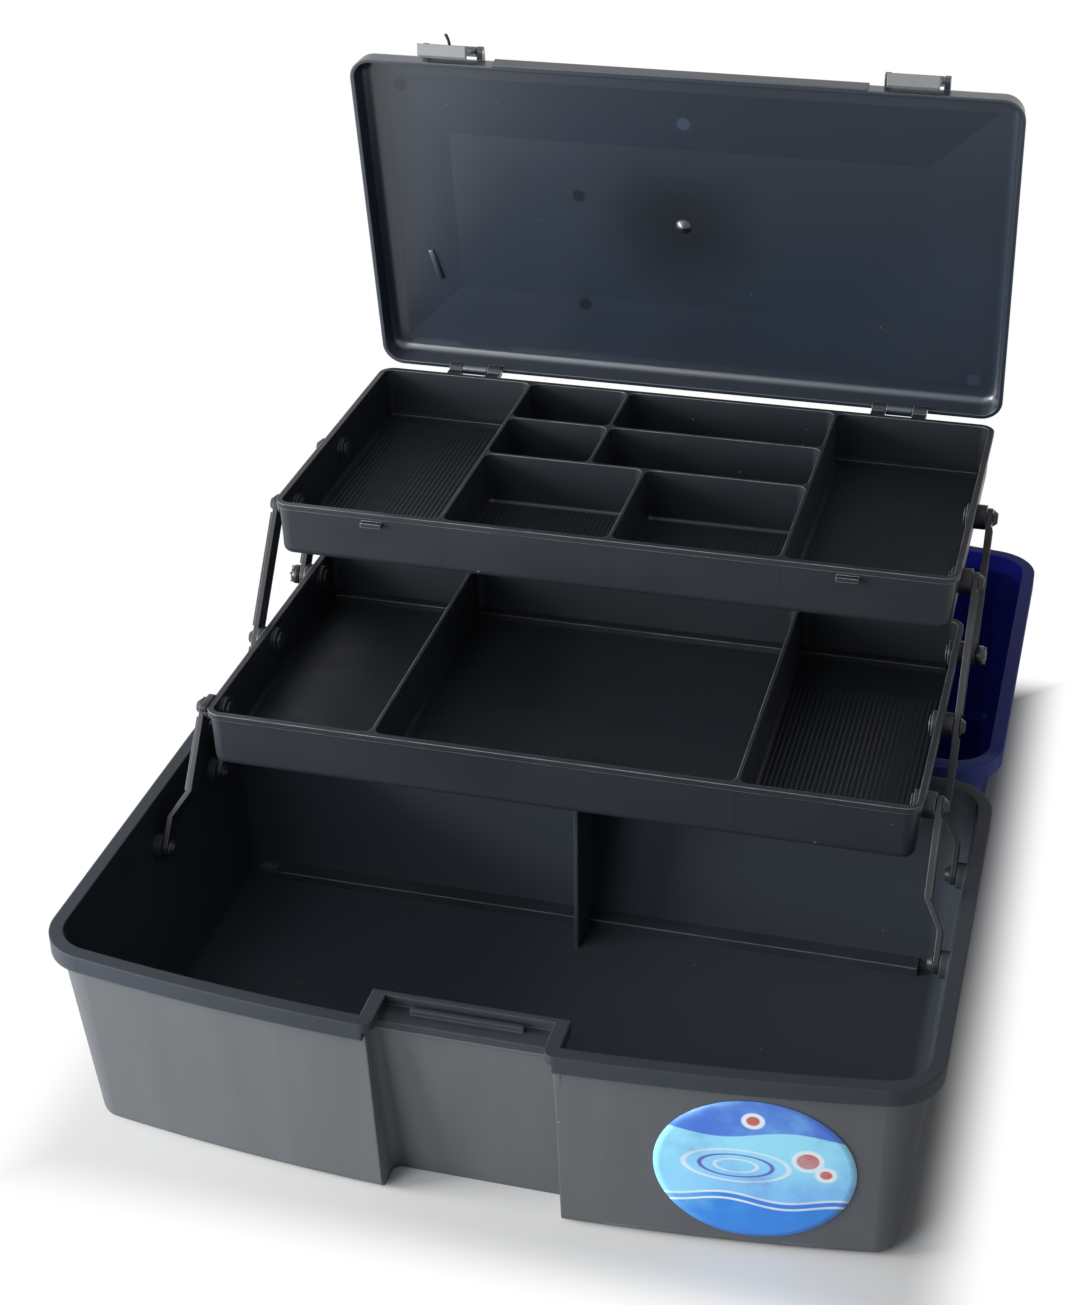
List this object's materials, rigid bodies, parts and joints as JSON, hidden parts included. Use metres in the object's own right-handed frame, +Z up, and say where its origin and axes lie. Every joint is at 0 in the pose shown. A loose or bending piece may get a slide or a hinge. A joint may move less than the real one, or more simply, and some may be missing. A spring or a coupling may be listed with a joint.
{
  "type": "fishing tackle box",
  "caption": "Open portable tackle box: tub, hinged lid, two cantilever trays on swinging links, and a latched cover over the upper tray.",
  "frame": {"origin": "on the table under the hinge line of the lid, midway between the sides", "axes": "+X to the right seen from the front, +Y to the rear over the open lid, +Z up"},
  "size_m": [0.406, 0.5143, 0.4121],
  "materials": {
    "tub": "fine-grained grey",
    "lid": "satin deep blue",
    "tray": "fine-grained black",
    "cover": "satin blue-black",
    "latch": "satin light grey",
    "link": "satin mid grey",
    "steel": "bright wire"
  },
  "bodies": {
    "tub": {"base_tub": "tub", "base_pivot_pins": "link", "lid_hinge_pins": "steel"},
    "lid": {"lid_shell": "lid", "lid_latch_pin": "steel", "handle_pins": "steel"},
    "lower_links": {"lower_link_left": "link", "lower_link_right": "link"},
    "long_links": {"long_link_left": "link", "long_link_right": "link"},
    "upper_links": {"upper_link_left": "link", "upper_link_right": "link"},
    "middle_tray": {"middle_tray": "tray", "middle_pivot_pins": "link", "middle_pin_retainers": "tray"},
    "top_tray": {"top_tray": "tray", "top_pivot_pins": "link", "top_pin_retainers": "tray", "cover_hinge_pins": "steel"},
    "tray_cover": {"tray_cover": "cover", "cover_latch_pins": "steel"},
    "cover_latch_left": {"cover_latch_left": "latch"},
    "cover_latch_right": {"cover_latch_right": "latch"},
    "lid_latch": {"lid_latch": "latch"},
    "handle": {"handle": "latch"}
  },
  "joints": [
    {"name": "tray_fold", "type": "hinge", "parent": "tub", "child": "long_links", "pos_m": [0, -0.0535, 0.0846], "axis": [1, 0, 0], "range_deg": [0, 105.5]},
    {"name": "lower_link_swing", "type": "hinge", "parent": "tub", "child": "lower_links", "pos_m": [0, -0.1245, 0.0846], "axis": [1, 0, 0], "range_deg": [0, 105.5]},
    {"name": "middle_tray_pivot", "type": "hinge", "parent": "long_links", "child": "middle_tray", "pos_m": [0, -0.01047, 0.1417], "axis": [1, 0, 0], "range_deg": [-105.5, 0]},
    {"name": "top_tray_pivot", "type": "hinge", "parent": "long_links", "child": "top_tray", "pos_m": [0, 0.03256, 0.19881], "axis": [1, 0, 0], "range_deg": [-105.5, 0]},
    {"name": "upper_link_swing", "type": "hinge", "parent": "middle_tray", "child": "upper_links", "pos_m": [0, 0.06053, 0.1417], "axis": [1, 0, 0], "range_deg": [0, 105.5]},
    {"name": "lid_hinge", "type": "hinge", "parent": "tub", "child": "lid", "pos_m": [0, 0, 0.108], "axis": [1, 0, 0], "range_deg": [0, 180]},
    {"name": "cover_hinge", "type": "hinge", "parent": "top_tray", "child": "tray_cover", "pos_m": [0, 0.19706, 0.212], "axis": [1, 0, 0], "range_deg": [0, 79.5]},
    {"name": "cover_latch_left_swing", "type": "hinge", "parent": "tray_cover", "child": "cover_latch_left", "pos_m": [-0.12169, 0.1728, 0.40329], "axis": [-1, 0, 0], "range_deg": [-24, 66]},
    {"name": "cover_latch_right_swing", "type": "hinge", "parent": "tray_cover", "child": "cover_latch_right", "pos_m": [0.12169, 0.1728, 0.40329], "axis": [-1, 0, 0], "range_deg": [-24, 66]},
    {"name": "lid_latch_swing", "type": "hinge", "parent": "lid", "child": "lid_latch", "pos_m": [0, 0.2499, 0.082], "axis": [-1, 0, 0], "range_deg": [0, 90]},
    {"name": "handle_swing", "type": "hinge", "parent": "lid", "child": "handle", "pos_m": [0, 0.1275, 0.0055], "axis": [-1, 0, 0], "range_deg": [0, 90]}
  ],
  "couplings": [
    {"joint": "lower_link_swing", "follows": "tray_fold", "ratio": 1},
    {"joint": "middle_tray_pivot", "follows": "tray_fold", "ratio": -1},
    {"joint": "top_tray_pivot", "follows": "tray_fold", "ratio": -1},
    {"joint": "upper_link_swing", "follows": "tray_fold", "ratio": 1},
    {"joint": "lid_hinge", "follows": "tray_fold", "ratio": 1.7062},
    {"joint": "cover_hinge", "follows": "tray_fold", "ratio": 0.75355}
  ]
}
